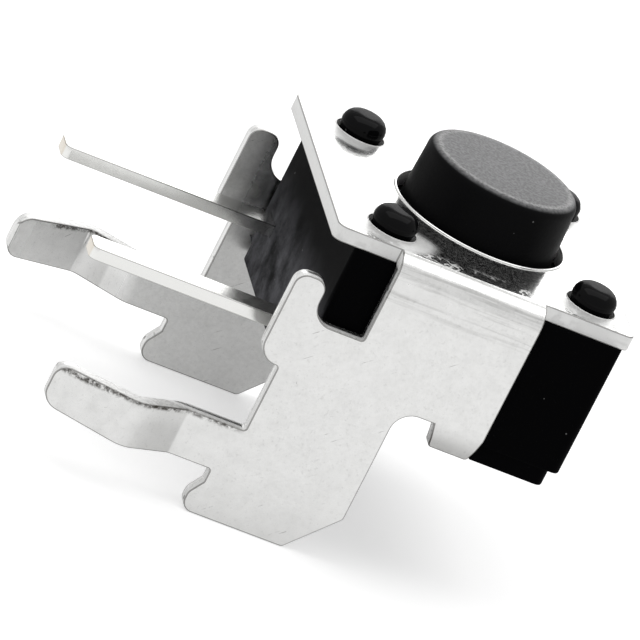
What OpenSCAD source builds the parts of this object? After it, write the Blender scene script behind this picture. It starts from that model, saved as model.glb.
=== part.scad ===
// Side-push pushbutton for a printed circuit board: a moulded base with two terminals and a snap
// dome, a button that slides in it, and one folded sheet that is both its cover and its bracket.
// The board is the plane x = 0, with the pins on the -X side. The button faces +Z, the two wings of
// the bracket lie at -Y and +Y, and z = 0 is the middle of the terminals. Drops run down from the
// top face of the cover plate.

/* [Board] */
// Pitch of the two terminals along the board
terminal_pitch = 4.5; // [4.2:0.1:4.8]
// Distance from the row of terminals to the row of bracket legs
row_gap = 2.3; // [2.1:0.05:2.6]
// Reach of the terminals through the board
terminal_reach = 3.4; // [2.4:0.1:5]
// Reach of the bracket legs through the board
leg_reach = 3.25; // [2.6:0.05:5]

/* [Cover plate] */
// Thickness of the plated sheet
sheet_t = 0.3; // [0.2:0.01:0.4]
// Inside radius of the folds at the plate's sides
fold_r = 0.1; // [0.05:0.01:0.3]
// Distance from the board to the plate
plate_gap = 0.39; // [0.2:0.01:0.6]
// Length of the plate away from the board
plate_l = 6; // [5.6:0.05:7]
// Width of the plate between its folds
plate_w = 6; // [5.6:0.1:7]
// Height of the plate's top face above the terminals
plate_top = 2.36; // [2:0.02:3]
// Radius of the plate's corners
plate_corner_r = 0.18; // [0.05:0.01:0.4]

/* [Wings] */
// Distance from the board to the folded flange
flange_gap = 1.67; // [1.3:0.01:2]
// Length of the folded flange
flange_l = 2.91; // [2.4:0.01:3.6]
// Depth of a wing away from the board
wing_l = 2.88; // [2.4:0.02:3.2]
// Length of the slanted corner at the wing's back
wing_cut_l = 0.82; // [0.4:0.02:1.4]
// Height of the slanted corner at the wing's back
wing_cut_h = 0.91; // [0.4:0.02:1.4]
// Radius of the inner corner between wing and flange
waist_r = 0.4; // [0.1:0.02:0.6]
// Drop of the slot between the spur and the flange
slot_drop = 1.78; // [1.5:0.02:2.2]
// Radius of the slot's corner beside the spur
slot_r = 0.4; // [0.1:0.02:0.6]
// Drop of the spur's tip
spur_drop = 0.97; // [0.6:0.01:1.2]
// Width of the spur
spur_w = 0.6; // [0.5:0.02:0.9]
// Radius of the spur's tip corners
spur_r = 0.24; // [0.05:0.01:0.25]
// Drop of the spur's lower end
recess_drop = 2.81; // [2.6:0.01:3.2]
// Depth of the recess below the spur
recess_depth = 0.45; // [0.2:0.01:0.8]
// Radius of the spur's lower corner
recess_r = 0.38; // [0.1:0.01:0.4]
// Height of the foot below a leg
foot_h = 0.92; // [0.7:0.02:1.4]
// Radius of the foot's corners
foot_r = 0.22; // [0.05:0.01:0.25]
// Radius of the corners at the wing's back
back_r = 0.11; // [0.05:0.01:0.3]
// Depth of the relief between a leg and its foot
relief_depth = 0.19; // [0.1:0.01:0.3]
// Height of the relief between a leg and its foot
relief_h = 0.27; // [0.16:0.01:0.4]
// Height of the slanted shoulder of the foot
shoulder_h = 0.29; // [0.15:0.01:0.4]
// Radius of small inner corners
nick_r = 0.06; // [0.02:0.01:0.08]

/* [Legs] */
// Width of a leg
leg_w = 0.93; // [0.76:0.01:1.1]
// Distance from the board to the start of a leg's kink
kink_gap = 0.72; // [0.5:0.02:0.9]
// Length over which a leg leans outward
kink_l = 0.98; // [0.7:0.02:1.2]
// How far the kink stands out from the wing
kink_out = 0.55; // [0.2:0.01:0.7]
// How far the tip of a leg stands out from the wing
tip_out = -0.05; // [-0.15:0.01:0.3]
// Bend radius of a leg at mid-sheet
leg_bend_r = 0.35; // [0.2:0.01:0.6]
// Narrowing of a leg's tip on each side
tip_taper = 0.05; // [0:0.01:0.1]
// Radius of the corners of a leg's tip
leg_tip_r = 0.3; // [0.1:0.01:0.32]

/* [Crimp tabs] */
// Length of the tab that is crimped under the base
tab_l = 1; // [0.6:0.01:1.4]
// Height of the crimped tab
tab_h = 0.48; // [0.38:0.01:0.6]
// Narrowing of the tab's lower edge on each side
tab_taper = 0.11; // [0:0.01:0.2]
// Radius of the tab's lower corners
tab_r = 0.08; // [0.02:0.01:0.12]
// Straight lead of the tab before its crimp
tab_lead = 0.21; // [0.1:0.01:0.26]
// Inward lean of the crimp
crimp_in = 0.1; // [0.07:0.01:0.14]

/* [Base] */
// Height of the base below the cover plate
base_h = 3.06; // [2.6:0.02:3.6]
// Wall between the pocket and the board side
board_wall = 0.55; // [0.4:0.02:0.8]
// Wall between the pocket and the front
front_wall = 0.31; // [0.25:0.01:0.8]
// Clearance between the base and a wing
side_clear = 0.05; // [0.02:0.01:0.1]
// Radius of the base's upright corners
base_corner_r = 0.18; // [0.05:0.01:0.3]
// Height of the step at the bottom of the base
step_h = 0.38; // [0.2:0.01:0.6]
// Inset of that step from the base's sides and front
step_in = 0.14; // [0.08:0.01:0.3]
// Moulding between the buried strips and the groove for the crimp tabs
groove_floor = 0.27; // [0.2:0.01:0.4]
// Length of that groove on the board side of the crimp tabs
groove_lead = 0.75; // [0.4:0.05:1.2]
// Clearance of that groove at the other end of the crimp tabs
groove_clear = 0.06; // [0.03:0.01:0.2]

/* [Posts] */
// Diameter of a post that stands through the plate
post_d = 0.8; // [0.7:0.02:0.9]
// Diameter of a post's swollen head
head_d = 0.87; // [0.82:0.01:0.94]
// Radius of the head's rim
head_round = 0.25; // [0.1:0.01:0.3]
// Rise of a post above the plate
post_rise = 0.39; // [0.38:0.01:0.6]
// Inset of the posts from the plate's end at the board
post_in_back = 1.19; // [1:0.01:1.3]
// Inset of the posts from the plate's other end
post_in_front = 0.77; // [0.7:0.01:0.9]
// Inset of the posts from the plate's sides
post_in_side = 0.85; // [0.7:0.01:0.9]
// Radial clearance of a post in its hole
post_clear = 0.08; // [0.06:0.01:0.2]

/* [Button] */
// Distance from the board to the button's axis
axis_gap = 3.7; // [3.54:0.02:3.8]
// Diameter of the button at its collar
button_d = 3.1; // [2.6:0.05:3.2]
// Draft angle of the button's side
button_draft = 2.5; // [0:0.5:5]
// Rise of the button above the plate
button_rise = 1.1; // [0.8:0.05:5]
// Radius of the button's top edge
button_round = 0.18; // [0.05:0.01:0.4]
// Radial clearance of the button in the plate
button_clear = 0.13; // [0.05:0.01:0.25]
// Width of the collar that keeps the button in
collar_lip = 0.4; // [0.2:0.02:0.5]
// Height of the collar
collar_h = 0.45; // [0.3:0.01:0.7]
// End play of the collar under the plate
collar_play = 0.02; // [0.01:0.01:0.05]
// Diameter of the nub that presses the dome
nub_d = 1.4; // [0.8:0.05:1.8]
// Gap between the nub and the dome at rest
nub_gap = 0.01; // [0.005:0.005:0.03]
// Travel of the button
travel = 0.25; // [0.15:0.01:0.3]

/* [Dome] */
// Diameter of the snap dome
dome_d = 4; // [3.6:0.05:4.3]
// Height of the snap dome
dome_h = 0.45; // [0.38:0.01:0.6]
// Thickness of the snap dome
dome_t = 0.07; // [0.04:0.01:0.1]
// Radial clearance round the collar and the dome in the pocket
pocket_clear = 0.2; // [0.05:0.01:0.3]

/* [Terminals] */
// Width of a terminal
terminal_w = 0.6; // [0.5:0.02:0.8]
// Thickness of a terminal
terminal_t = 0.25; // [0.15:0.01:0.35]
// Radius of a terminal's tip corners
terminal_tip_r = 0.14; // [0.05:0.01:0.24]
// Moulded cover over the buried strips
strip_cover = 0.1; // [0.05:0.01:0.2]
// Width of the band under the dome's rim
band_w = 0.6; // [0.54:0.02:0.7]
// Diameter of the contacts on that band
pad_d = 0.46; // [0.3:0.02:0.54]
// Rise of those contacts above the pocket's floor
pad_rise = 0.02; // [0.01:0.01:0.05]
// Inset of those contacts' middles from the dome's rim
pad_in = 0.17; // [0.1:0.01:0.2]
// Diameter of the contact under the dome's middle
centre_d = 0.8; // [0.5:0.02:1]

/* [Hidden] */
$fn = 64;
// Facets of the large, shallow sphere of the dome
dome_fn = 160;
// Largest angle of one stretch of a rounded corner
corner_angle = 9;
// Overlap of a cutting shape past the face it cuts
past = 0.5;
// Overlap of the stretches of one sheet
lap = 0.05;

sheet_color = [0.80, 0.80, 0.79];
base_color = [0.06, 0.06, 0.065];
button_color = [0.16, 0.16, 0.165];
dome_color = [0.72, 0.73, 0.74];
terminal_color = [0.86, 0.85, 0.82];

// Levels
plate_under = plate_top - sheet_t;
base_bottom = plate_under - base_h;
step_top = base_bottom + step_h;
groove_top = -terminal_t / 2 - groove_floor;
floor_z = terminal_t / 2 + strip_cover;
pad_top = floor_z + pad_rise;
dome_top = pad_top + dome_h;
// The middle contact meets the dome when the button has made its whole travel
centre_top = dome_top - dome_t - travel;
collar_top = plate_under - collar_play;
collar_bottom = collar_top - collar_h;
nub_bottom = dome_top + nub_gap;

// Wings
wing_in = plate_w / 2 + fold_r;
wing_mid = wing_in + sheet_t / 2;
fold_z = plate_under - fold_r;
flange_end = flange_gap + flange_l;
flange_low = step_top + tab_lead;
leg_high = -row_gap + leg_w / 2;
leg_low = -row_gap - leg_w / 2;
wing_low = leg_low - foot_h;

// Button, pocket and base
button_r = button_d / 2;
hole_r = button_r + button_clear;
collar_r = hole_r + collar_lip;
pocket_r = max(collar_r, dome_d / 2) + pocket_clear;
base_back = axis_gap - pocket_r - board_wall;
base_front = axis_gap + pocket_r + front_wall;
base_half_w = wing_in - side_clear;
post_r = post_d / 2;

// Contacts: the rim contacts stand on a band that leaves room for the middle strip
band_r = dome_d / 2 - pad_in;
band_start = -40;
band_sweep = 260;
// Angle between the last contacts and the ends of the band
pad_end_angle = 15;
pad_angles = [
    band_start + pad_end_angle,
    band_start + band_sweep / 2,
    band_start + band_sweep - pad_end_angle
];

function unit(v) = v / norm(v);

// Points of the arc that rounds corner p between its neighbours a and b
function corner_arc(a, p, b, r) =
    r == 0 ? [p] :
    let (
        u = unit(a - p),
        v = unit(b - p),
        half = acos(u * v) / 2,
        centre = p + unit(u + v) * r / sin(half),
        first = p + u * r / tan(half) - centre,
        last = p + v * r / tan(half) - centre,
        start = atan2(first.y, first.x),
        sweep = (atan2(last.y, last.x) - start + 540) % 360 - 180,
        steps = ceil(abs(sweep) / corner_angle)
    )
    [for (k = [0:steps]) centre + r * [cos(start + sweep * k / steps), sin(start + sweep * k / steps)]];

// Outline through corners given as [x, y, radius]
function rounded(corners) =
    let (n = len(corners))
    [for (i = [0:n - 1], q = corner_arc(
        [corners[(i + n - 1) % n].x, corners[(i + n - 1) % n].y],
        [corners[i].x, corners[i].y],
        [corners[(i + 1) % n].x, corners[(i + 1) % n].y],
        corners[i][2])) q];

// Left-hand normal of the stretch that starts at point i of a line
function normal(line, i) =
    let (d = unit(line[i + 1] - line[i]))
    [-d.y, d.x];

// Point i of a line, moved sideways by d with mitred corners
function beside(line, i, d) =
    let (
        before = normal(line, max(i - 1, 0)),
        after = normal(line, min(i, len(line) - 2))
    )
    line[i] + d * (before + after) / (1 + before * after);

// Radius of the bend at point i of a line, on the side that lies d to the left of it
function bend_r(line, i, d, r) =
    i == 0 || i == len(line) - 1 ? 0 :
    r - d * sign(cross(line[i] - line[i - 1], line[i + 1] - line[i]));

// Outline of a bent sheet whose middle follows a line with bends of radius r
function bent_sheet(line, t, r) =
    let (
        last = len(line) - 1,
        left = [for (i = [0:last]) concat(beside(line, i, t / 2), bend_r(line, i, t / 2, r))],
        right = [for (i = [last:-1:0]) concat(beside(line, i, -t / 2), bend_r(line, i, -t / 2, r))]
    )
    rounded(concat(left, right));

function rectangle(low, high, r) =
    [[low.x, low.y, r], [high.x, low.y, r], [high.x, high.y, r], [low.x, high.y, r]];

// Puts what follows at each post
module at_posts() {
    for (x = [plate_gap + post_in_back, plate_gap + plate_l - post_in_front], side = [-1, 1])
        translate([x, side * (plate_w / 2 - post_in_side), 0])
            children();
}

// Repeats what follows on the far wing
module on_both_wings() {
    children();
    mirror([0, 1, 0]) children();
}

// Outline of a wing in its own plane, without its leg and its crimp tab
wing_outline = rounded([
    [flange_gap, fold_z, 0],
    [flange_gap, plate_top - slot_drop, nick_r],
    [spur_w, plate_top - slot_drop, slot_r],
    [spur_w, plate_top - spur_drop, spur_r],
    [0, plate_top - spur_drop, spur_r],
    [0, plate_top - recess_drop, recess_r],
    [recess_depth, plate_top - recess_drop, nick_r],
    [recess_depth, leg_high, nick_r],
    [0, leg_high, 0],
    [0, leg_low, 0],
    [relief_depth, leg_low, nick_r],
    [relief_depth, leg_low - relief_h, nick_r],
    [0, leg_low - relief_h - shoulder_h, foot_r],
    [0, wing_low, foot_r],
    [wing_l - wing_cut_l, wing_low, back_r],
    [wing_l, wing_low + wing_cut_h, back_r],
    [wing_l, flange_low, waist_r],
    [flange_end, flange_low, 0],
    [flange_end, fold_z, 0]
]);

// Middle line of a leg seen along the board: out to the kink, then back in towards the tip
leg_line = [
    [-lap, 0],
    [kink_gap, 0],
    [kink_gap + kink_l, kink_out],
    [leg_reach, tip_out]
];

// Middle line of a crimp tab from the flange's lower edge down
tab_line = [
    [-lap, 0],
    [tab_lead, 0],
    [tab_h, crimp_in]
];

module plate() {
    translate([0, 0, plate_under])
        linear_extrude(sheet_t)
            difference() {
                polygon(rounded(rectangle(
                    [plate_gap, -plate_w / 2], [plate_gap + plate_l, plate_w / 2], plate_corner_r)));
                translate([axis_gap, 0]) circle(hole_r);
                at_posts() circle(post_r + post_clear);
            }
}

module fold() {
    outer_r = fold_r + sheet_t;
    translate([flange_gap, -plate_w / 2, fold_z])
        rotate([90, 0, 90])
            linear_extrude(flange_l)
                union() {
                    intersection() {
                        difference() {
                            circle(outer_r);
                            circle(fold_r);
                        }
                        translate([-outer_r, 0]) square(outer_r);
                    }
                    translate([0, fold_r]) square([lap, sheet_t]);
                    translate([-outer_r, -lap]) square([sheet_t, lap]);
                }
}

module wing() {
    translate([0, -wing_in, 0])
        rotate([90, 0, 0])
            linear_extrude(sheet_t)
                polygon(wing_outline);
}

module leg() {
    taper_start = kink_gap + kink_l;
    intersection() {
        translate([0, -wing_mid, leg_low])
            rotate([0, 0, 180])
                linear_extrude(leg_w)
                    polygon(bent_sheet(leg_line, sheet_t, leg_bend_r));
        rotate([90, 0, 0])
            linear_extrude(wing_mid + kink_out + sheet_t + past)
                polygon(rounded([
                    [past, leg_low - past, 0],
                    [past, leg_high + past, 0],
                    [-taper_start, leg_high + past, 0],
                    [-taper_start, leg_high, 0],
                    [-leg_reach, leg_high - tip_taper, leg_tip_r],
                    [-leg_reach, leg_low + tip_taper, leg_tip_r],
                    [-taper_start, leg_low, 0],
                    [-taper_start, leg_low - past, 0]
                ]));
    }
}

module crimp_tab() {
    tab_start = flange_end - tab_l;
    intersection() {
        translate([tab_start, -wing_mid, flange_low])
            rotate([0, 90, 0])
                linear_extrude(tab_l)
                    polygon(bent_sheet(tab_line, sheet_t, sheet_t));
        rotate([90, 0, 0])
            linear_extrude(wing_in + sheet_t + past)
                polygon(rounded([
                    [tab_start, flange_low + past, 0],
                    [tab_start, flange_low, 0],
                    [tab_start + tab_taper, flange_low - tab_h, tab_r],
                    [flange_end - tab_taper, flange_low - tab_h, tab_r],
                    [flange_end, flange_low, 0],
                    [flange_end, flange_low + past, 0]
                ]));
    }
}

// One folded sheet: cover plate, two wings, two kinked legs and two crimped tabs
module bracket_cover() {
    color(sheet_color) {
        plate();
        on_both_wings() {
            fold();
            wing();
            leg();
            crimp_tab();
        }
    }
}

// A post that locates the plate, with a head swollen by heat
module post() {
    rim_r = head_d / 2 - head_round;
    rim_z = post_rise - head_round;
    translate([0, 0, plate_under - past])
        cylinder(r = post_r, h = past + sheet_t + rim_z);
    translate([0, 0, plate_top])
        rotate_extrude() {
            translate([0, rim_z - head_round]) square([rim_r, 2 * head_round]);
            translate([rim_r, rim_z])
                intersection() {
                    circle(head_round);
                    translate([0, -head_round]) square([head_round, 2 * head_round]);
                }
        }
}

// Groove across the bottom of the base, into which both tabs are crimped
module tab_groove() {
    start = flange_end - tab_l - groove_lead;
    translate([start, -base_half_w - past, base_bottom - past])
        cube([flange_end + groove_clear - start, 2 * (base_half_w + past), past + groove_top - base_bottom]);
}

module base() {
    color(base_color)
        difference() {
            union() {
                translate([0, 0, step_top])
                    linear_extrude(plate_under - step_top)
                        polygon(rounded(rectangle(
                            [base_back, -base_half_w], [base_front, base_half_w], base_corner_r)));
                translate([0, 0, base_bottom])
                    linear_extrude(step_h)
                        polygon(rounded(rectangle(
                            [base_back, -base_half_w + step_in],
                            [base_front - step_in, base_half_w - step_in], base_corner_r)));
                at_posts() post();
            }
            translate([axis_gap, 0, floor_z]) cylinder(r = pocket_r, h = plate_under - floor_z + past);
            tab_groove();
            rim_strip();
            centre_strip();
        }
}

// Section of the button from its axis outward, with the round edge tangent to the drafted side
module button_section() {
    top = plate_top + button_rise;
    side_r = button_r - (top - button_round - collar_top) * tan(button_draft);
    round_x = side_r - button_round / cos(button_draft);
    round_z = top - button_round;
    translate([0, nub_bottom]) square([nub_d / 2, collar_bottom - nub_bottom]);
    translate([0, collar_bottom]) square([collar_r, collar_h]);
    polygon([
        [0, collar_top],
        [button_r, collar_top],
        [round_x + button_round * cos(button_draft), round_z + button_round * sin(button_draft)],
        [round_x, top],
        [0, top]
    ]);
    translate([round_x, round_z]) circle(button_round);
}

module button() {
    color(button_color)
        translate([axis_gap, 0, 0])
            rotate_extrude()
                button_section();
}

// Shallow spherical shell whose rim stands on the rim contacts
module snap_dome() {
    ball_r = (dome_d * dome_d / 4 + dome_h * dome_h) / (2 * dome_h);
    color(dome_color)
        translate([axis_gap, 0, pad_top])
            intersection() {
                translate([0, 0, dome_h - ball_r])
                    difference() {
                        sphere(ball_r, $fn = dome_fn);
                        sphere(ball_r - dome_t, $fn = dome_fn);
                    }
                cylinder(r = dome_d, h = dome_h + past);
            }
}

// Flat pin that runs from its tip into the base, on the +Y side
module pin(length) {
    translate([-terminal_reach, (terminal_pitch - terminal_w) / 2, -terminal_t / 2])
        linear_extrude(terminal_t)
            polygon(rounded([
                [0, 0, terminal_tip_r],
                [0, terminal_w, terminal_tip_r],
                [length, terminal_w, 0],
                [length, 0, 0]
            ]));
}

// Strip with the contacts for the dome's rim
module rim_strip() {
    pin(terminal_reach + axis_gap);
    translate([axis_gap, 0, -terminal_t / 2]) {
        rotate([0, 0, band_start])
            rotate_extrude(angle = band_sweep)
                translate([band_r - band_w / 2, 0]) square([band_w, terminal_t]);
        for (angle = pad_angles)
            rotate([0, 0, angle])
                translate([band_r, 0, 0])
                    cylinder(d = pad_d, h = pad_top + terminal_t / 2);
        translate([-terminal_w / 2, band_r, 0])
            cube([terminal_w, (terminal_pitch + terminal_w) / 2 - band_r, terminal_t]);
    }
}

// Strip with the contact for the dome's middle
module centre_strip() {
    mirror([0, 1, 0]) pin(terminal_reach + axis_gap);
    translate([axis_gap, 0, -terminal_t / 2]) {
        translate([-terminal_w / 2, -(terminal_pitch + terminal_w) / 2, 0])
            cube([terminal_w, (terminal_pitch + terminal_w) / 2, terminal_t]);
        cylinder(d = centre_d, h = centre_top + terminal_t / 2);
    }
}

module rim_terminal() {
    color(terminal_color) rim_strip();
}

module centre_terminal() {
    color(terminal_color) centre_strip();
}

bracket_cover();
base();
button();
snap_dome();
rim_terminal();
centre_terminal();
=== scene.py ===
# %% [markdown]
# # A side-push pushbutton
# This lesson dresses a small pushbutton for a circuit board. The frame holds its solid pieces at their
# real size: one folded sheet that is both cover and bracket, a moulded base with four posts, a button
# that slides in it, a snap dome and two flat terminals. What is left for Blender is what a hand lens
# shows: rounded edges, lips round punched holes, and the finish of plated sheet and moulded plastic.

import math

import bmesh
import bpy
from mathutils import Matrix, Vector


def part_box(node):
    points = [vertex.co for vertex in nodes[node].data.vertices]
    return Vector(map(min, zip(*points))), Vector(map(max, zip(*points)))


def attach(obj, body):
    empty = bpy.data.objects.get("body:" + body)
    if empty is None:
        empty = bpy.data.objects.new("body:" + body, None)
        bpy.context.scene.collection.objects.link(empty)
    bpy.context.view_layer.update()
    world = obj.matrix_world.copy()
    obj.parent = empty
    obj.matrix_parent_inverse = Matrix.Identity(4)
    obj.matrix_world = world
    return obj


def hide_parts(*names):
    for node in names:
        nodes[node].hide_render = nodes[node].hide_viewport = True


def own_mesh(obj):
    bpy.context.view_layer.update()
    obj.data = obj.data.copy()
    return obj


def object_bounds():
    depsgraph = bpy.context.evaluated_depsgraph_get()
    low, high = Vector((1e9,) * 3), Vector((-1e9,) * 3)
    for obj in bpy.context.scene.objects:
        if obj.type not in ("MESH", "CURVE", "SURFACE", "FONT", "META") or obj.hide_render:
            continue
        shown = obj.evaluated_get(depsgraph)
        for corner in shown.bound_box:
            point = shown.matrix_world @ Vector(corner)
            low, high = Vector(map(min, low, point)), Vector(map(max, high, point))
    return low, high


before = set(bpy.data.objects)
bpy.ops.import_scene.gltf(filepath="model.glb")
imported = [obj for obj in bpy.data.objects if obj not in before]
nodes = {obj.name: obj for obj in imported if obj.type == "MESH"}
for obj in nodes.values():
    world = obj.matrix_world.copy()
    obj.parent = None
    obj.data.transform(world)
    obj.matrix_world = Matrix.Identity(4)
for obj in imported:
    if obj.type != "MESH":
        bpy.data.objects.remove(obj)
cad_low, cad_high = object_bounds()
MM = 0.001
scene = bpy.context.scene
print("triangles:", {name: len(node.data.polygons) for name, node in nodes.items()})

# %% [markdown]
# ## Measures
# The places of holes, posts, folds and legs are read from the frame, so the scene follows the part. A box
# gives the levels. A punched hole has no box of its own, so its radius is the distance from its axis to the
# nearest vertex of the plate. The posts are the only vertices of the base that stand above the plate, one
# group in each corner.

# %% Axes and holes of the cover plate
NEAR = 0.002 * MM
button_low, button_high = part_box("button")
plate_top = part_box("bracket_cover")[1].z
button_axis = (button_low + button_high) / 2
button_axis.z = plate_top
sheet_points = [vertex.co.copy() for vertex in nodes["bracket_cover"].data.vertices]


def hole_radius(axis):
    """Radius of the punched hole of the plate round an upright axis."""
    rim = [p for p in sheet_points if abs(p.z - plate_top) < NEAR]
    return min((p.xy - axis.xy).length for p in rim)


def halfway(values):
    """The middle between the lowest and the highest of some values."""
    return (min(values) + max(values)) / 2


def post_axes():
    """The middle of each post, at the level of the plate's top."""
    corners = {}
    for vertex in nodes["base"].data.vertices:
        if vertex.co.z > plate_top + NEAR:
            corner = (vertex.co.x > button_axis.x, vertex.co.y > button_axis.y)
            corners.setdefault(corner, []).append(vertex.co)
    axes = []
    for points in corners.values():
        axes.append(Vector((halfway([p.x for p in points]), halfway([p.y for p in points]), plate_top)))
    return axes


posts = post_axes()
button_hole = hole_radius(button_axis)
post_hole = hole_radius(posts[0])
print("%d posts, holes %.2f and %.2f mm in radius" % (len(posts), button_hole / MM, post_hole / MM))

# %% [markdown]
# The finish of the sheet follows its folds, legs and tabs, so their places are read as well. Each is found
# by what sets its vertices apart. The middle of the plate has only an upper and a lower level. The legs lie
# behind the board, and their tips lie furthest behind it. The feet hang lower than the legs, and they end at
# a wing's outer face. A leg leans outward where it leaves that face, up to its widest point. The tabs are
# the lowest part of the front.

# %% Places on the folded sheet
BEHIND_BOARD = -1 * MM
MIDDLE_STRIP = 1 * MM
BELOW_LEG = 1.2 * MM
plate_under = max(p.z for p in sheet_points if abs(p.y) < MIDDLE_STRIP and p.z < plate_top - NEAR)
plate_half = max(abs(p.y) for p in sheet_points if abs(p.z - plate_under) < NEAR)
leg_top = max(p.z for p in sheet_points if p.x < BEHIND_BOARD)
wing_face = max(abs(p.y) for p in sheet_points if p.z < leg_top - BELOW_LEG)
leg_points = [p for p in sheet_points if p.x < 0]
leg_tip = min(p.x for p in leg_points)
lean_start = max(p.x for p in leg_points if abs(p.y) > wing_face + NEAR)
lean_end = max(leg_points, key=lambda p: abs(p.y)).x
tab_low = min(p.z for p in sheet_points if p.x > button_axis.x)
print("plate %.2f to %.2f mm, half width %.2f mm" % (plate_under / MM, plate_top / MM, plate_half / MM))
print("legs lean outward from x = %.2f to %.2f mm" % (lean_start / MM, lean_end / MM))

# %% [markdown]
# ## Soft edges
# Stamped sheet and moulded plastic never have perfectly sharp edges, and it is the thin line of light or
# dirt on a rounded edge that makes a piece look solid. The edges could be rounded one by one, but a Bevel
# modifier does them all alike. It needs whole faces, and the CAD mesh is made of loose triangles, so a
# copy of it is merged and its flat triangles are joined. A face with a hole in it would be bridged at an
# odd slant, so the plate is first cut through the middle of each hole.

# %% Helpers for copies of the CAD pieces
MERGE = 0.0002 * MM
CORNER = math.radians(32)


def link(name, mesh):
    """Puts a mesh into the scene as an object at the origin."""
    piece = bpy.data.objects.new(name, mesh)
    scene.collection.objects.link(piece)
    return piece


def open_merged(node):
    """Copies a CAD node's mesh and opens the copy with its loose triangles merged."""
    mesh = nodes[node].data.copy()
    work = bmesh.new()
    work.from_mesh(mesh)
    bmesh.ops.remove_doubles(work, verts=work.verts, dist=MERGE)
    return mesh, work


def close_smooth(mesh, work):
    """Writes an opened mesh back with smooth shading."""
    for face in work.faces:
        face.smooth = True
    work.to_mesh(mesh)
    work.free()


def cut_through(work, axis):
    """Cuts an opened mesh lengthwise through a hole's axis and keeps the cut as a seam."""
    whole = work.verts[:] + work.edges[:] + work.faces[:]
    made = bmesh.ops.bisect_plane(work, geom=whole, dist=MERGE, plane_co=axis, plane_no=(0, 1, 0))
    for item in made["geom_cut"]:
        if isinstance(item, bmesh.types.BMEdge):
            item.seam = True


def bake_modifiers(piece):
    """Turns an object with modifiers into a plain mesh."""
    graph = bpy.context.evaluated_depsgraph_get()
    mesh = bpy.data.meshes.new_from_object(piece.evaluated_get(graph), depsgraph=graph)
    piece.modifiers.clear()
    piece.data = mesh
    mesh.name = piece.name


def stand_in(piece, node, body):
    """Lets a finished piece stand for a CAD node and move with its body."""
    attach(piece, body)
    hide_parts(node)
    print(piece.name, "stands for", node, "with", len(piece.data.polygons), "faces")
    return piece


# %% [markdown]
# The finish has to find the rounded edges again. The Bevel modifier can give its faces a second material
# slot, so both slots exist for a moment, and what was in the second one is kept as a number on each face.
# A bevel also takes in faces that stay in line with their neighbours, and those are left out. Weighted
# normals keep the flat faces flat.

# %% Rounded copies
FLAT = math.radians(0.6)
TILT = math.cos(math.radians(6))
SHEET_EDGE = 0.024 * MM
BASE_EDGE = 0.03 * MM
PIN_EDGE = 0.02 * MM
FACE_WEIGHT = 60


def is_tilted(face):
    """True for a face that looks along none of the three axes."""
    return max(abs(part) for part in face.normal) < TILT


def mark_edges(piece):
    """Keeps the tilted faces of the second slot in a face attribute, then drops the slots."""
    marks = [float(face.material_index and is_tilted(face)) for face in piece.data.polygons]
    for face in piece.data.polygons:
        face.material_index = 0
    piece.data.materials.clear()
    edge = piece.data.attributes.new("edge", "FLOAT", "FACE")
    edge.data.foreach_set("value", marks)


def soften(node, name, width, hole_axes=()):
    """Makes a copy of a CAD node whose edges are rounded."""
    mesh, work = open_merged(node)
    for axis in hole_axes:
        cut_through(work, axis)
    everywhere = {"verts": work.verts, "edges": work.edges}
    bmesh.ops.dissolve_limit(work, angle_limit=FLAT, delimit={"SEAM"}, **everywhere)
    close_smooth(mesh, work)
    mesh.materials.clear()
    mesh.materials.append(None)
    mesh.materials.append(None)
    piece = link(name, mesh)
    bevel = piece.modifiers.new("soft edges", "BEVEL")
    bevel.limit_method = "ANGLE"
    bevel.angle_limit = CORNER
    bevel.width = width
    bevel.segments = 2
    bevel.material = 1
    bevel.use_clamp_overlap = False
    shading = piece.modifiers.new("even shading", "WEIGHTED_NORMAL")
    shading.weight = FACE_WEIGHT
    bake_modifiers(piece)
    mark_edges(piece)
    return stand_in(piece, node, "switch_body")


sheet = soften("bracket_cover", "folded_sheet", SHEET_EDGE, [button_axis] + posts)
moulding = soften("base", "moulded_base", BASE_EDGE)
far_pin = soften("rim_terminal", "far_terminal", PIN_EDGE)
near_pin = soften("centre_terminal", "near_terminal", PIN_EDGE)

# %% [markdown]
# ## Cut faces
# A stamped sheet has two kinds of face. The broad ones are rolled and plated and they shine. The narrow
# ones, where the punch sheared the metal, are torn and dull. The finish needs to know which is which, so
# each face gets a number: on the plate a cut face is one that doesn't look up or down, on a fold it looks
# along the fold, and on a wing or leg it doesn't look sideways.

# %% Mark the sheared faces
FOLD_DEPTH = 0.1 * MM
MAINLY = 0.5


def is_cut(face):
    """True for a face that runs across the thickness of the sheet."""
    on_plate = abs(face.center.y) < plate_half and face.center.z > plate_under - NEAR
    if on_plate:
        return abs(face.normal.z) < MAINLY
    if face.center.z > plate_under - FOLD_DEPTH:
        return abs(face.normal.x) > MAINLY
    return abs(face.normal.y) < MAINLY


cut_marks = [float(is_cut(face)) for face in sheet.data.polygons]
sheet.data.attributes.new("cut", "FLOAT", "FACE").data.foreach_set("value", cut_marks)
print("cut faces: %d of %d" % (sum(cut_marks), len(cut_marks)))

# %% [markdown]
# ## The button
# A button like this is a turned shape: one profile swept round an axis. The CAD button could be smoothed,
# but its rim would keep its corners. So the profile is read from it, level by level from its nub to its
# top, and swept again with many more steps. Edges sharper than the corner angle stay sharp.

# %% Turn the button
BUTTON_STEPS = 160


def profile_of(node, axis):
    """Outline (radius, height) of a turned CAD node in millimetres, from the bottom to the top."""
    levels = {}
    for vertex in nodes[node].data.vertices:
        height = round(vertex.co.z / MM, 3)
        levels.setdefault(height, set()).add(round((vertex.co.xy - axis.xy).length / MM, 3))
    outline = [(0.0, min(levels))]
    for height in sorted(levels):
        radii = sorted(levels[height])
        if abs(radii[-1] - outline[-1][0]) < abs(radii[0] - outline[-1][0]):
            radii.reverse()
        outline += [(radius, height) for radius in radii if radius > 0]
    return outline + [(0.0, max(levels))]


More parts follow.
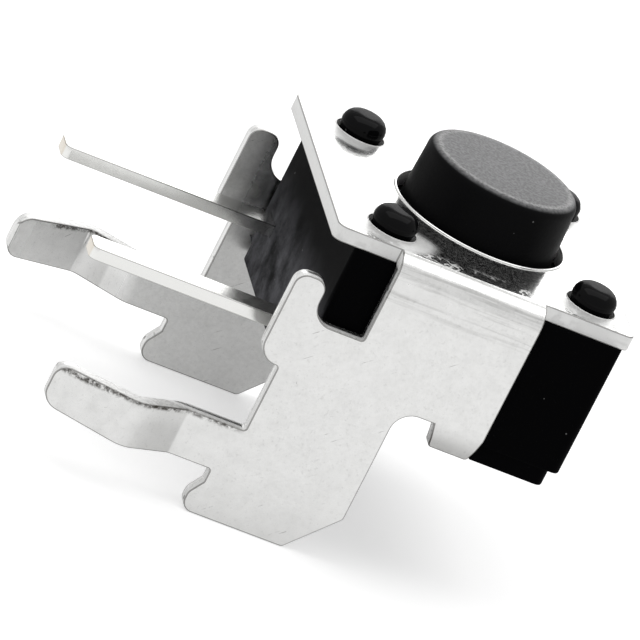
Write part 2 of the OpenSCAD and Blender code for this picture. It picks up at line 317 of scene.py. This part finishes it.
def turn(name, outline, axis):
    """Sweeps an outline round an upright axis."""
    work = bmesh.new()
    line = [work.verts.new((axis.x + r * MM, axis.y, h * MM)) for r, h in outline]
    edges = [work.edges.new(pair) for pair in zip(line, line[1:])]
    swept = {"geom": line + edges, "steps": BUTTON_STEPS, "angle": math.tau}
    bmesh.ops.spin(work, cent=axis, axis=(0, 0, 1), **swept)
    bmesh.ops.remove_doubles(work, verts=work.verts, dist=MERGE)
    bmesh.ops.recalc_face_normals(work, faces=work.faces)
    mesh = bpy.data.meshes.new(name)
    close_smooth(mesh, work)
    mesh.set_sharp_from_angle(angle=CORNER)
    return link(name, mesh)


button_profile = profile_of("button", button_axis)
flat_radius = button_profile[-2][0]
cap = stand_in(turn("turned_button", button_profile, button_axis), "button", "button")
print("profile of", len(button_profile), "points, flat top %.2f mm in radius" % flat_radius)

# %% [markdown]
# ## A small language for finishes
# Every finish is a node tree. To keep the trees readable, one class wraps a socket so that sums and
# products can be written as plain expressions, and one method adds any other node. All patterns read the
# object's own coordinates, counted in millimetres, so they stay on the piece when it moves.

# %% Signals


class Signal:
    """One output of a finish. An expression of signals adds Math nodes to the tree."""

    def __init__(self, finish, socket):
        self.finish = finish
        self.socket = socket

    def __add__(self, other):
        return self.finish.math("ADD", self, other)

    def __radd__(self, other):
        return self.finish.math("ADD", other, self)

    def __sub__(self, other):
        return self.finish.math("SUBTRACT", self, other)

    def __rsub__(self, other):
        return self.finish.math("SUBTRACT", other, self)

    def __mul__(self, other):
        return self.finish.math("MULTIPLY", self, other)

    def __rmul__(self, other):
        return self.finish.math("MULTIPLY", other, self)


# %% [markdown]
# A finish starts from an empty tree. Besides the method that adds a node it has a few short ones for what
# is needed again and again: places, noise, cells, soft steps and bands, and mixed colours.

# %% Finishes


class Finish:
    """A node tree whose nodes are added one by one."""

    def __init__(self, name, tree=None):
        if tree is None:
            self.material = bpy.data.materials.new(name)
            self.material.use_nodes = True
            tree = self.material.node_tree
        self.tree = tree
        self.tree.nodes.clear()

    def node(self, kind, settings=None, sockets=None, output=0):
        """Adds a node: first its settings, then the values or links of its sockets."""
        made = self.tree.nodes.new(kind)
        for key, value in (settings or {}).items():
            setattr(made, key, value)
        for key, value in (sockets or {}).items():
            if isinstance(value, Signal):
                self.tree.links.new(value.socket, made.inputs[key])
            else:
                made.inputs[key].default_value = value
        return Signal(self, made.outputs[output]) if made.outputs else None

    def math(self, operation, first, second):
        return self.node("ShaderNodeMath", {"operation": operation}, {0: first, 1: second})

    def absolute(self, value):
        return self.math("ABSOLUTE", value, 0.0)

    def larger(self, first, second):
        return self.math("MAXIMUM", first, second)

    def mark(self, name):
        """A number that the faces of the piece carry."""
        return self.node("ShaderNodeAttribute", {"attribute_name": name}, None, "Fac")

    def place(self):
        """The object's own coordinates, in millimetres."""
        here = self.node("ShaderNodeTexCoord", output="Object")
        return self.node("ShaderNodeVectorMath", {"operation": "SCALE"}, {"Vector": here, "Scale": 1 / MM})

    def part(self, vector, axis):
        """One part of a vector: X, Y or Z."""
        return self.node("ShaderNodeSeparateXYZ", None, {"Vector": vector}, axis)

    def stretch(self, vector, factors):
        return self.node("ShaderNodeVectorMath", {"operation": "MULTIPLY"}, {0: vector, 1: factors})

    def turned(self, vector, angles):
        sockets = {"Vector": vector, "Rotation": angles}
        return self.node("ShaderNodeVectorRotate", {"rotation_type": "EULER_XYZ"}, sockets)

    def reach(self, vector, axis):
        """Distance from an upright axis, in millimetres."""
        away = self.node("ShaderNodeVectorMath", {"operation": "SUBTRACT"}, {0: vector, 1: axis / MM})
        level = self.stretch(away, (1.0, 1.0, 0.0))
        return self.node("ShaderNodeVectorMath", {"operation": "LENGTH"}, {0: level}, "Value")

    def noise(self, vector, scale, detail, roughness=0.5):
        sockets = {"Vector": vector, "Scale": scale, "Detail": detail, "Roughness": roughness}
        return self.node("ShaderNodeTexNoise", None, sockets)

    def cells(self, vector, scale):
        """Distance from the middle of a cell."""
        return self.node("ShaderNodeTexVoronoi", None, {"Vector": vector, "Scale": scale})

    def ease(self, value, low, high):
        """0 at low and 1 at high, smooth between them. With low above high it falls instead."""
        sockets = {"Value": value, "From Min": low, "From Max": high}
        return self.node("ShaderNodeMapRange", {"interpolation_type": "SMOOTHSTEP"}, sockets)

    def band(self, value, start, low, high, end):
        """1 between low and high, with soft ends that reach 0 at start and end."""
        return self.ease(value, start, low) * self.ease(value, end, high)

    def blend(self, amount, first, second):
        return self.node("ShaderNodeMix", {"data_type": "RGBA"}, {0: amount, 6: first, 7: second}, 2)

    def bump(self, height, strength, distance):
        sockets = {"Height": height, "Strength": strength, "Distance": distance}
        return self.node("ShaderNodeBump", None, sockets)

    def surface(self, sockets):
        """Ends the finish in a Principled shader."""
        shader = self.node("ShaderNodeBsdfPrincipled", None, sockets)
        self.node("ShaderNodeOutputMaterial", None, {"Surface": shader})
        return self.material


def mm(length):
    """A length of the frame in millimetres."""
    return length / MM


def wear(piece, material):
    """Gives a piece its finish."""
    piece.data.materials.clear()
    piece.data.materials.append(material)
    print(piece.name, "wears", material.name)


# %% [markdown]
# ## Plated sheet
# The bracket is bright tin plate: a metal that mirrors the room softly. Tin is laid on as small grains,
# so its shade and roughness are mottled. A picture of worn tin could be wrapped round it, but it would
# not know where a fold or a leg is. So the finish is worked out from where a point lies: how far along
# the part, how far out from the middle and how high.

# %% Where a point of the sheet lies


class SheetFinish(Finish):
    """A finish that knows where a point of the folded sheet lies."""

    def __init__(self, name):
        super().__init__(name)
        self.here = self.place()
        self.along = self.part(self.here, "X")
        self.across = self.absolute(self.part(self.here, "Y"))
        self.height = self.part(self.here, "Z")
        self.sheared = self.mark("cut")
        self.mottle = self.noise(self.here, scale=2.4, detail=5.0, roughness=0.62)
        self.grain = self.noise(self.here, scale=14.0, detail=4.0, roughness=0.7)
        self.on_plate = self.ease(self.height, mm(plate_under) - 0.02, mm(plate_under) + 0.02)
        below_plate = self.ease(self.height, mm(plate_under) - 0.8, mm(plate_under) - 0.4)
        self.on_fold = self.ease(self.across, mm(plate_half), mm(plate_half) + 0.1) * below_plate


# %% [markdown]
# The press leaves its own marks. A sheared face has two halves: the punch burnishes the inner one, and the
# outer one is torn, so it scatters light more than it mirrors it and looks pale from all sides. The tool
# that held the sheet scuffs the plate in blotches beside each fold, and the hot tool that swells the posts'
# heads dulls the plate round them. Inside the wings the plating is duller, least of all next to the base.
# A pair of places, in millimetres, says where a mark starts to show and where it is full.

# %% Marks of the press
DULL_LOW_DOWN = (0.5, -0.6)
DULL_NEAR_BOARD = (0.8, 0.1)


def torn_half(tin):
    """1 on the outer half of a sheared face, and on all of it at the plate."""
    outer = tin.ease(tin.across, mm(wing_face) - 0.17, mm(wing_face) - 0.11)
    return tin.sheared * tin.larger(tin.on_plate, outer)


def holder_scuffs(tin):
    """Blotches with thin outlines beside each fold."""
    outline = tin.absolute(tin.noise(tin.here, scale=3.2, detail=3.0) - 0.5)
    fold = mm(plate_half)
    beside_fold = tin.band(tin.across, fold - 0.5, fold - 0.12, fold, fold + 0.05)
    return tin.ease(outline, 0.05, 0.02) * beside_fold * tin.ease(tin.mottle, 0.42, 0.52)


def heated_rings(tin):
    """1 on the plate round the posts, but not next to the button."""
    post_rim = mm(post_hole)
    button_rim = mm(button_hole)
    near = sum(tin.ease(tin.reach(tin.here, post), post_rim + 0.55, post_rim + 0.25) for post in posts)
    off_button = tin.ease(tin.reach(tin.here, button_axis), button_rim + 0.65, button_rim + 1.0)
    return near * off_button * tin.on_plate


def dull_inside(tin):
    """1 on the inner side of a wing, low down or near the board."""
    inner = tin.ease(tin.across, mm(wing_face) - 0.2, mm(wing_face) - 0.26)
    return inner * tin.larger(tin.ease(tin.height, *DULL_LOW_DOWN), tin.ease(tin.along, *DULL_NEAR_BOARD))


# %% [markdown]
# Handling adds pits, nicks in the cut faces, a few short scratches, a dark line rubbed under the top edge
# of each leg and grey streaks drawn along the folds, and the rounded edges are darkened. Painted shade
# darkens blotches on the leg tips and patches where a leg leans outward and where a tab is crimped. Each
# is a pattern times the place where it occurs. A leg tapers to its tip, so the level of the dark line is
# let down there.

# %% Marks of handling and painted shade
RUBBED_FROM = (0.5, 0.1)


def specked(tin):
    """Pits, nicks and scratches."""
    pits = tin.ease(tin.cells(tin.here, 1.15), 0.05, 0.025) * tin.ease(tin.mottle, 0.45, 0.6)
    nicks = tin.ease(tin.cells(tin.here, 1.9), 0.1, 0.06) * tin.sheared
    lines = tin.stretch(tin.turned(tin.here, (0.0, 0.7, 0.0)), (0.55, 0.2, 13.0))
    scratches = tin.ease(tin.cells(lines, 1.0), 0.1, 0.04) * tin.ease(tin.mottle, 0.5, 0.56)
    return tin.larger(0.7 * pits + 0.7 * nicks, 0.6 * scratches)


def dirt_and_painted_shade(tin):
    """A dark line rubbed under the top edge of a leg, darkened rounded edges, and painted shade on its tip.
    """
    top = mm(leg_top)
    tip = mm(leg_tip)
    level = tin.height + 0.1 * tin.ease(tin.along, mm(lean_end), tip + 0.3)
    under_edge = tin.band(level, top - 0.11, top - 0.03, top + 0.03, top + 0.08)
    outside = tin.ease(tin.across, mm(wing_face) - 0.12, mm(wing_face) - 0.06)
    on_leg = tin.ease(tin.along, *RUBBED_FROM) * outside
    speckle = tin.ease(tin.noise(tin.here, scale=13.0, detail=4.0, roughness=0.7), 0.36, 0.6)
    rub_and_rim_highlight = under_edge * on_leg * speckle * (1.0 - 0.75 * tin.sheared)
    blotches = tin.ease(tin.noise(tin.here, scale=3.5, detail=5.0, roughness=0.65), 0.42, 0.7)
    # Painted shade in blotches on the tip of each leg.
    tip_painted_shade = blotches * tin.ease(tin.along, mm(lean_end) + 0.4, mm(lean_end)) * (1.0 - tin.sheared)
    return tin.larger(0.9 * rub_and_rim_highlight, 0.6 * tin.mark("edge")) + 0.1 * tip_painted_shade


def marks_and_painted_shade(tin):
    """Streaks along the folds, painted shade on the leaning legs and crimped tabs, and fine specks
    everywhere.
    """
    drawn = tin.noise(tin.stretch(tin.here, (0.35, 9.0, 9.0)), scale=1.3, detail=4.0, roughness=0.6)
    streaks = tin.ease(drawn, 0.48, 0.66) * tin.on_fold
    start = mm(lean_start)
    end = mm(lean_end)
    # Painted shade on the part of each leg that leans outward.
    lean_painted_shade = tin.band(tin.along, end - 0.15, end + 0.5, start - 0.03, start + 0.02)
    lean_painted_shade = lean_painted_shade * tin.ease(tin.across, mm(wing_face) - 0.06, mm(wing_face) - 0.02)
    # Painted shade on the crimped tabs.
    on_tab = tin.ease(tin.along, mm(button_axis.x) - 0.7, mm(button_axis.x) - 0.5)
    tab_painted_shade = on_tab * tin.ease(tin.height, mm(tab_low) + 0.6, mm(tab_low) + 0.1)
    specks = tin.ease(tin.noise(tin.here, scale=19.0, detail=2.0), 0.6, 0.72)
    return 0.24 * streaks + 0.34 * tab_painted_shade + (0.16 + 0.12 * tin.grain) * lean_painted_shade + 0.1 * specks


# %% [markdown]
# All marks then meet in one shader. Stains and painted shade darken the colour, torn and scuffed places
# are less metallic, and everything worn is rougher.

# %% Tin plate
TIN = (0.86, 0.86, 0.85, 1.0)
TIN_LOW = (0.73, 0.73, 0.72, 1.0)
TORN = (0.9, 0.9, 0.89, 1.0)
# A dark tint for stains, darkened edges and painted shade.
DARK_TINT = (0.05, 0.045, 0.038, 1.0)


def tin_plate():
    tin = SheetFinish("tin_plate")
    torn = torn_half(tin)
    scuffs = holder_scuffs(tin)
    heated = heated_rings(tin)
    # Stains and painted shade darken the colour together.
    stain_and_painted_shade = tin.larger(specked(tin), dirt_and_painted_shade(tin) + marks_and_painted_shade(tin))
    clean = tin.blend(tin.ease(0.35 * tin.mottle + 0.65 * tin.grain, 0.3, 0.7), TIN_LOW, TIN)
    worn = 0.1 * tin.sheared + 0.2 * torn + 0.3 * scuffs + 0.3 * heated
    worn = worn + 0.24 * dull_inside(tin) + 0.1 * tin.on_fold
    grains = tin.ease(tin.grain, 0.38, 0.72)
    sockets = {
        "Base Color": tin.blend(stain_and_painted_shade, tin.blend(0.8 * torn, clean, TORN), DARK_TINT),
        "Metallic": 1.0 - 0.6 * torn - 0.4 * scuffs - 0.45 * heated - 0.1 * grains,
        "Roughness": 0.07 + 0.1 * tin.mottle + 0.07 * tin.grain + worn,
        "Normal": tin.bump(tin.grain + 1.5 * tin.mottle, 0.3, 0.004 * MM),
    }
    return tin.surface(sockets)


plating = tin_plate()
wear(sheet, plating)

# %% [markdown]
# ## Moulded plastic
# Base and button are black thermoplastic. Moulded faces carry a fine grain and a little dust. The posts
# were melted into heads by a hot tool, which leaves them glossy, so they get a thin coat. The face next to
# the board gets a painted sheen, a painted reflection that is paler lower down. All this is worked out from
# where a point lies, so the base needs no second finish.

# %% The black base
BLACK = (0.002, 0.002, 0.0023, 1.0)
# The colour of the painted sheen on the face next to the board.
PAINTED_SHEEN = (0.115, 0.115, 0.125, 1.0)
DUST = (0.3, 0.3, 0.3, 1.0)
SHEEN_LEVELS = (1.3, -0.2)


def base_plastic():
    black = Finish("black_moulding")
    here = black.place()
    height = black.part(here, "Z")
    grain = black.noise(here, scale=24.0, detail=3.0, roughness=0.6)
    dust = black.ease(black.cells(here, 2.3), 0.05, 0.03)
    board_face = mm(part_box("base")[0].x)
    board_side = black.ease(black.part(here, "X"), board_face + 0.04, board_face + 0.01)
    cloud = black.noise(here, scale=1.1, detail=4.0, roughness=0.6) + 0.25 * grain
    # Painted sheen: a painted reflection on the face next to the board, paler lower down.
    painted_sheen = board_side * black.ease(cloud, 0.4, 0.85) * black.ease(height, *SHEEN_LEVELS)
    melted = black.ease(height, mm(plate_top) - 0.05, mm(plate_top) + 0.05)
    sockets = {
        "Base Color": black.blend(0.5 * dust, black.blend(painted_sheen, BLACK, PAINTED_SHEEN), DUST),
        "Roughness": 0.42 + 0.16 * grain,
        "Specular IOR Level": 0.008,
        "Coat Weight": 0.16 * melted,
        "Coat Roughness": 0.05,
        "Normal": black.bump(grain, 0.4, 0.005 * MM),
    }
    return black.surface(sockets)


wear(moulding, base_plastic())

# %% [markdown]
# The button comes from another mould. Its top is matt and painted lighter than its side as painted light,
# with a painted highlight along its rim. The rim is found by its distance from the button's axis.

# %% The black button
# Painted light: lit shades of the black for the top, and a painted highlight for the rim.
LIT_TOP_DARKEST = (0.07, 0.07, 0.071, 1.0)
LIT_TOP_LIGHTEST = (0.19, 0.19, 0.193, 1.0)
RIM_HIGHLIGHT = (0.34, 0.34, 0.335, 1.0)


def button_plastic():
    black = Finish("black_button")
    here = black.place()
    summit = mm(button_high.z)
    top = black.ease(black.part(here, "Z"), summit - 0.07, summit - 0.005)
    grain = black.noise(here, scale=15.0, detail=4.0, roughness=0.7)
    cloud = black.noise(here, scale=1.6, detail=3.0)
    reach = black.reach(here, button_axis)
    rim = black.band(reach, flat_radius - 0.09, flat_radius - 0.01, flat_radius + 0.02, flat_radius + 0.07)
    rub_and_rim_highlight = rim * black.ease(grain, 0.3, 0.6)
    dust = black.ease(black.cells(here, 2.1), 0.045, 0.03)
    shade = 0.75 * black.ease(grain, 0.38, 0.62) + 0.35 * cloud
    # Painted light: the top lighter than the side, with a painted highlight on the rim.
    lit_top = black.blend(0.7 * rub_and_rim_highlight, black.blend(shade, LIT_TOP_DARKEST, LIT_TOP_LIGHTEST), RIM_HIGHLIGHT)
    sockets = {
        "Base Color": black.blend(0.4 * dust, black.blend(top, BLACK, lit_top), DUST),
        "Roughness": 0.45 + 0.15 * grain,
        "Specular IOR Level": 0.05,
        "Coat Weight": 0.35 * top,
        "Coat Roughness": 0.5,
        "Normal": black.bump(grain, 0.5, 0.008 * MM),
    }
    return black.surface(sockets)


wear(cap, button_plastic())

# %% [markdown]
# ## Terminals
# The terminals are silver-plated before they are stamped from a strip, so their cut tips show a little of
# the yellow metal below. Their rounded edges are darkened like those of the sheet.

# %% Plated pins
SILVER = (0.87, 0.87, 0.85, 1.0)
BARE = (0.62, 0.52, 0.38, 1.0)


def pin_plate():
    silver = Finish("pin_plate")
    here = silver.place()
    mottle = silver.noise(here, scale=6.0, detail=4.0, roughness=0.6)
    tip = mm(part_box("rim_terminal")[0].x)
    bare = silver.ease(silver.part(here, "X") + 0.03 * mottle, tip + 0.05, tip + 0.015)
    clean = silver.blend(0.5 * bare, SILVER, BARE)
    sockets = {
        "Base Color": silver.blend(0.4 * silver.mark("edge"), clean, DARK_TINT),
        "Metallic": 1.0,
        "Roughness": 0.14 + 0.14 * mottle,
        "Normal": silver.bump(mottle, 0.3, 0.004 * MM),
    }
    return silver.surface(sockets)


plated = pin_plate()
wear(far_pin, plated)
wear(near_pin, plated)

# %% [markdown]
# ## The dome
# The snap dome is bright spring steel with fine rolling lines, and the one piece that changes its shape.
# As the button goes down, the real dome flattens towards its rim. Here it is a smooth copy of the CAD
# dome with its own mesh, and it keeps its shape.

# %% The dome, smoothed
STEEL = (0.7, 0.71, 0.72, 1.0)


def spring_steel():
    steel = Finish("spring_steel")
    lines = steel.noise(steel.stretch(steel.place(), (2.0, 30.0, 2.0)), scale=1.0, detail=3.0)
    return steel.surface({"Base Color": STEEL, "Metallic": 1.0, "Roughness": 0.2 + 0.2 * lines})


def smooth_copy(node, name):
    """Makes a merged copy of a CAD node with smooth shading."""
    mesh, work = open_merged(node)
    close_smooth(mesh, work)
    mesh.set_sharp_from_angle(angle=CORNER)
    return link(name, mesh)


dome = stand_in(smooth_copy("snap_dome", "sprung_dome"), "snap_dome", "switch_body")
wear(dome, spring_steel())
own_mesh(dome)

# %% [markdown]
# ## Lips round the punched holes
# A punch rolls the edge of a hole into a low lip. It is the same shape every time, a round bead swept
# along a circle, so one Geometry Nodes tree makes them all: a circle on each axis, with a bead that is
# half sunk in the plate. The tree's inputs are the ring's radius, the bead's radius and the finish.

# %% A tree for beads
RING_STEPS = 128
BEAD_STEPS = 12


def bead_tree():
    """A tree that puts a ring with a round section on every point of a mesh."""
    tree = bpy.data.node_groups.new("punched lips", "GeometryNodeTree")
    sockets = tree.interface
    sockets.new_socket("Geometry", in_out="INPUT", socket_type="NodeSocketGeometry")
    sockets.new_socket("Ring radius", in_out="INPUT", socket_type="NodeSocketFloat")
    sockets.new_socket("Bead radius", in_out="INPUT", socket_type="NodeSocketFloat")
    sockets.new_socket("Finish", in_out="INPUT", socket_type="NodeSocketMaterial")
    sockets.new_socket("Geometry", in_out="OUTPUT", socket_type="NodeSocketGeometry")
    kinds = {
        "in": "NodeGroupInput",
        "ring": "GeometryNodeCurvePrimitiveCircle",
        "bead": "GeometryNodeCurvePrimitiveCircle",
        "sweep": "GeometryNodeCurveToMesh",
        "copies": "GeometryNodeInstanceOnPoints",
        "real": "GeometryNodeRealizeInstances",
        "smooth": "GeometryNodeSetShadeSmooth",
        "finish": "GeometryNodeSetMaterial",
        "out": "NodeGroupOutput",
    }
    made = {key: tree.nodes.new(kind) for key, kind in kinds.items()}
    made["ring"].inputs["Resolution"].default_value = RING_STEPS
    made["bead"].inputs["Resolution"].default_value = BEAD_STEPS
    wires = [
        ("in", "Ring radius", "ring", "Radius"),
        ("in", "Bead radius", "bead", "Radius"),
        ("ring", "Curve", "sweep", "Curve"),
        ("bead", "Curve", "sweep", "Profile Curve"),
        ("in", "Geometry", "copies", "Points"),
        ("sweep", "Mesh", "copies", "Instance"),
        ("copies", "Instances", "real", "Geometry"),
        ("real", "Geometry", "smooth", "Geometry"),
        ("smooth", "Geometry", "finish", "Geometry"),
        ("in", "Finish", "finish", "Material"),
        ("finish", "Geometry", "out", "Geometry"),
    ]
    for start, output, end, socket in wires:
        tree.links.new(made[start].outputs[output], made[end].inputs[socket])
    return tree


beads = bead_tree()
print("bead tree of", len(beads.nodes), "nodes")

# %% [markdown]
# The tree runs twice, on one point for the button's hole and on four for the posts' holes. The bead's
# middle lies one bead radius outside the hole, so that a lip never narrows it.

# %% The lips
BUTTON_BEAD = 0.03 * MM
POST_BEAD = 0.01 * MM


def lips(name, axes, hole, bead):
    """Runs the bead tree on a few points and keeps the result as a plain mesh."""
    mesh = bpy.data.meshes.new(name)
    mesh.from_pydata(axes, [], [])
    piece = link(name, mesh)
    modifier = piece.modifiers.new("lips", "NODES")
    modifier.node_group = beads
    values = {"Ring radius": hole + bead, "Bead radius": bead, "Finish": plating}
    for item in beads.interface.items_tree:
        if item.in_out == "INPUT" and item.name in values:
            modifier[item.identifier] = values[item.name]
    bake_modifiers(piece)
    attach(piece, "switch_body")
    print(name, "has", len(piece.data.polygons), "faces")


lips("button_hole_lip", [button_axis], button_hole, BUTTON_BEAD)
lips("post_hole_lips", posts, post_hole, POST_BEAD)

# %% [markdown]
# ## Floor and light
# Small plated parts are photographed in a white tent, because bright metal shows whatever stands round
# it. A white world is the tent, and the floor is plain and pale. Camera rays and mirror rays see both
# brighter than the light that they give, so the background is white without more light on the part, and
# the floor keeps the part's shadow.

# %% Floor and tent
FLOOR_HALF = 400 * MM
FLOOR_PAINT = (0.8, 0.8, 0.8, 1.0)
CORNERS = [(-1, -1), (1, -1), (1, 1), (-1, 1)]
floor_z = cad_low.z


def seen_strength(finish, plain, seen, mirrored):
    """A strength with one value for light, one for the camera and one for what a mirror shows."""
    rays = ("Is Camera Ray", "Is Glossy Ray", "Is Transmission Ray")
    camera_ray, glossy_ray, clear_ray = [finish.node("ShaderNodeLightPath", output=ray) for ray in rays]
    in_mirror = finish.larger(glossy_ray, clear_ray)
    return plain + (seen - plain) * camera_ray + (mirrored - plain) * in_mirror


def pale_floor():
    finish = Finish("pale_floor")
    strength = seen_strength(finish, plain=0.0, seen=0.45, mirrored=0.22)
    glow = finish.node("ShaderNodeEmission", None, {"Strength": strength})
    paint = finish.node("ShaderNodeBsdfDiffuse", None, {"Color": FLOOR_PAINT})
    both = finish.node("ShaderNodeAddShader", None, {0: glow, 1: paint})
    finish.node("ShaderNodeOutputMaterial", None, {"Surface": both})
    return finish.material


def white_tent():
    tent = bpy.data.worlds.new("tent")
    tent.use_nodes = True
    finish = Finish("tent", tent.node_tree)
    strength = seen_strength(finish, plain=0.65, seen=1.0, mirrored=1.0)
    sky = finish.node("ShaderNodeBackground", None, {"Strength": strength})
    finish.node("ShaderNodeOutputWorld", None, {"Surface": sky})
    return tent


floor_mesh = bpy.data.meshes.new("floor")
floor_points = [(x * FLOOR_HALF, y * FLOOR_HALF, floor_z) for x, y in CORNERS]
floor_mesh.from_pydata(floor_points, [], [(0, 1, 2, 3)])
floor = link("floor", floor_mesh)
floor.data.materials.append(pale_floor())
scene.world = white_tent()
print("floor at %.2f mm" % (floor_z / MM))

# %% [markdown]
# A softbox overhead gives the light a direction, and a bright card behind the part is what its top plate
# mirrors. A lamp's power grows with its area, so it is worked out from how bright its face should be.

# %% Softboxes
part_middle = (cad_low + cad_high) / 2


def softbox(name, offset, width, height, brightness):
    """An area light that faces the part, with its place and size in millimetres."""
    lamp = bpy.data.lights.new(name, "AREA")
    lamp.shape = "RECTANGLE"
    lamp.size = width * MM
    lamp.size_y = height * MM
    lamp.energy = brightness * math.pi * lamp.size * lamp.size_y
    holder = bpy.data.objects.new(name, lamp)
    scene.collection.objects.link(holder)
    holder.location = part_middle + Vector(offset) * MM
    holder.rotation_euler = (part_middle - holder.location).to_track_quat("-Z", "Y").to_euler()
    print(name, "%.3f W" % lamp.energy)


softbox("overhead box", offset=(0, 5, 110), width=190, height=100, brightness=1.3)
softbox("back card", offset=(50, 150, 60), width=160, height=90, brightness=1.6)

# %% [markdown]
# ## Camera
# The camera stands far off with a long lens, as for a product picture, so the part is drawn almost without
# perspective. It is rolled, because the part was photographed tilted in the frame. Its three axes are
# worked out from the viewing angles and become the columns of its matrix.

# %% Camera
VIEW_AZIMUTH = math.radians(-17.87)
VIEW_ELEVATION = math.radians(19.1)
VIEW_ROLL = math.radians(27.07)
FOCAL_PIXELS = 11174
FRAME_PIXELS = 640
SENSOR_WIDTH = 36
EYE = Vector((-57.50, -184.06, 66.40)) * MM
CLIP_START = 10 * MM
CLIP_END = 5000 * MM
level_part = math.cos(VIEW_ELEVATION)
back_x = math.sin(VIEW_AZIMUTH) * level_part
back_y = -math.cos(VIEW_AZIMUTH) * level_part
back = Vector((back_x, back_y, math.sin(VIEW_ELEVATION)))
level_right = Vector((math.cos(VIEW_AZIMUTH), math.sin(VIEW_AZIMUTH), 0))
level_up = back.cross(level_right)
right = level_right * math.cos(VIEW_ROLL) + level_up * math.sin(VIEW_ROLL)
up = back.cross(right)
lens = bpy.data.cameras.new("camera")
lens.sensor_width = SENSOR_WIDTH
lens.lens = FOCAL_PIXELS * SENSOR_WIDTH / FRAME_PIXELS
lens.clip_start = CLIP_START
lens.clip_end = CLIP_END
camera = bpy.data.objects.new("camera", lens)
scene.collection.objects.link(camera)
camera.matrix_world = Matrix.Translation(EYE) @ Matrix((right, up, back)).transposed().to_4x4()
scene.camera = camera
scene.view_settings.view_transform = "Standard"
print("camera %.0f mm lens, %.0f mm away" % (lens.lens, (EYE - part_middle).length / MM))
